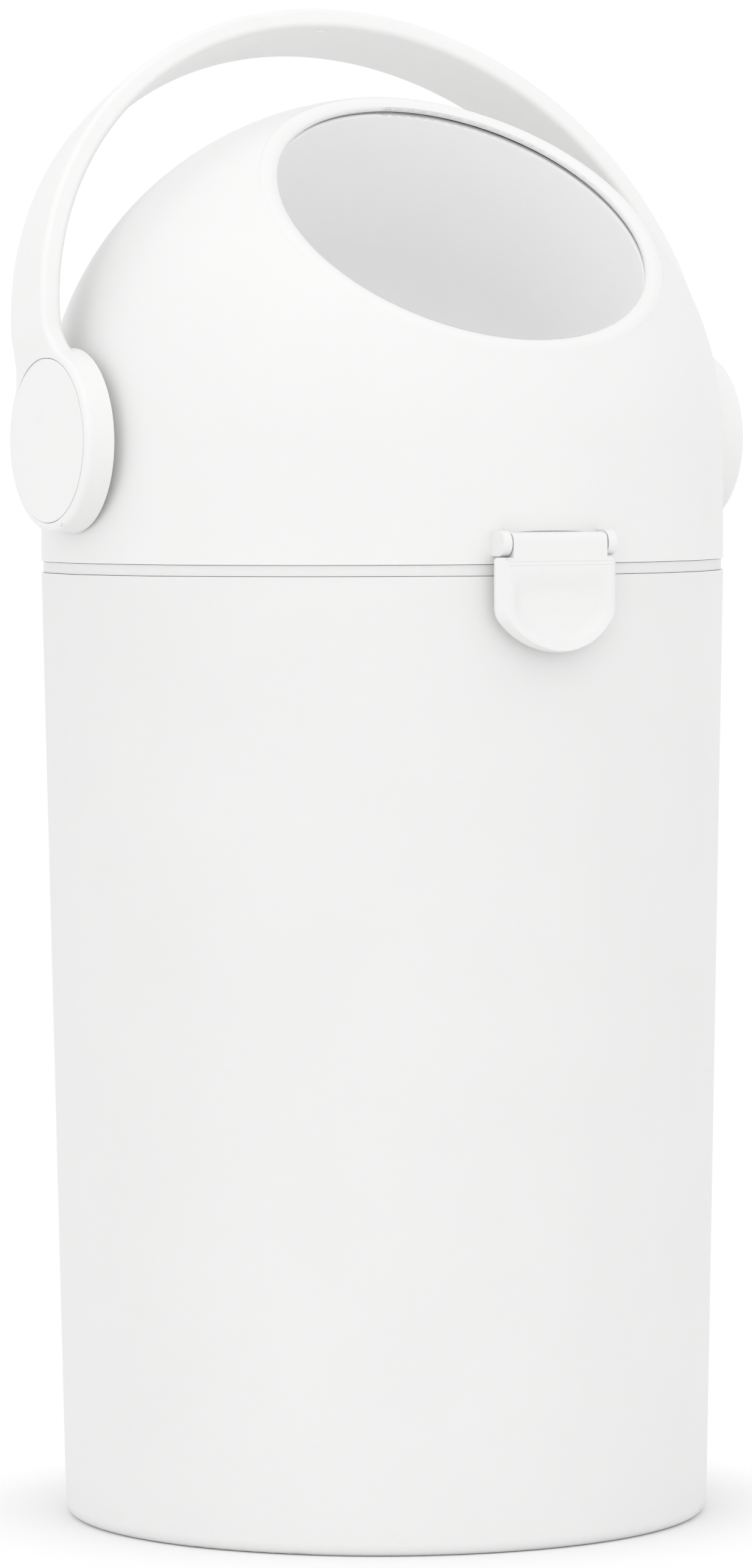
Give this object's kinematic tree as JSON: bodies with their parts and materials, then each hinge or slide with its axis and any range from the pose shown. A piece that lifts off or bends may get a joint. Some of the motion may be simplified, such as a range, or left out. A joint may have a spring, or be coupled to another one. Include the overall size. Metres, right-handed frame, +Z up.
{
  "type": "nappy bin",
  "caption": "Tall round nappy bin: tapered bucket with a hinged dome lid, a front latch, and a swinging handle that turns an inner drum whose cup tips nappies into the bag.",
  "frame": {"origin": "middle of the bucket's flat base, on the floor", "axes": "+Z up along the bucket's axis; -Y towards the front with the latch and the mouth; X along the drum's and handle's axis"},
  "size_m": [0.3084, 0.3014, 0.6211],
  "materials": {
    "shell": "white satin to semi-gloss injection moulding",
    "inner": "plain white moulding, not seen from outside",
    "bushing": "self-lubricating natural plastic",
    "rubber": "soft matt elastomer",
    "steel": "zinc-plated steel"
  },
  "bodies": {
    "bucket": {"bucket": "shell", "hinge_bracket": "shell", "bracket_screws": "steel", "hinge_pin": "steel"},
    "bag_ring": {"bag_ring": "shell", "bag_grip": "rubber"},
    "lid": {"lid_shell": "shell", "lid_collar": "inner", "collar_screws": "steel", "lid_gasket": "rubber", "mouth_seal": "rubber", "drum_seal": "rubber", "left_bushing": "bushing", "right_bushing": "bushing", "latch_pin": "steel"},
    "latch": {"latch": "shell"},
    "drum": {"drum_front": "shell", "drum_back": "shell", "drum_screws": "steel", "nappy_cup": "shell", "cup_bowl": "shell", "left_trunnion": "inner", "right_trunnion": "inner", "handle": "shell", "handle_screws": "steel", "handle_washers": "steel", "left_hub_cap": "shell", "right_hub_cap": "shell"}
  },
  "joints": [
    {"name": "lid_hinge", "type": "hinge", "parent": "bucket", "child": "lid", "pos_m": [0, 0.146, 0.3926], "axis": [-1, 0, 0], "range_deg": [0, 95]},
    {"name": "ring_hinge", "type": "hinge", "parent": "bucket", "child": "bag_ring", "pos_m": [0, 0.146, 0.3926], "axis": [-1, 0, 0], "range_deg": [0, 50]},
    {"name": "drum_turn", "type": "hinge", "parent": "lid", "child": "drum", "pos_m": [0, 0, 0.4419], "axis": [1, 0, 0], "range_deg": [0, 140]},
    {"name": "latch_turn", "type": "hinge", "parent": "lid", "child": "latch", "pos_m": [0, -0.1427, 0.4009], "axis": [-1, 0, 0], "range_deg": [0, 110]}
  ],
  "couplings": [
    {"joint": "ring_hinge", "follows": "lid_hinge", "ratio": 0.5}
  ]
}
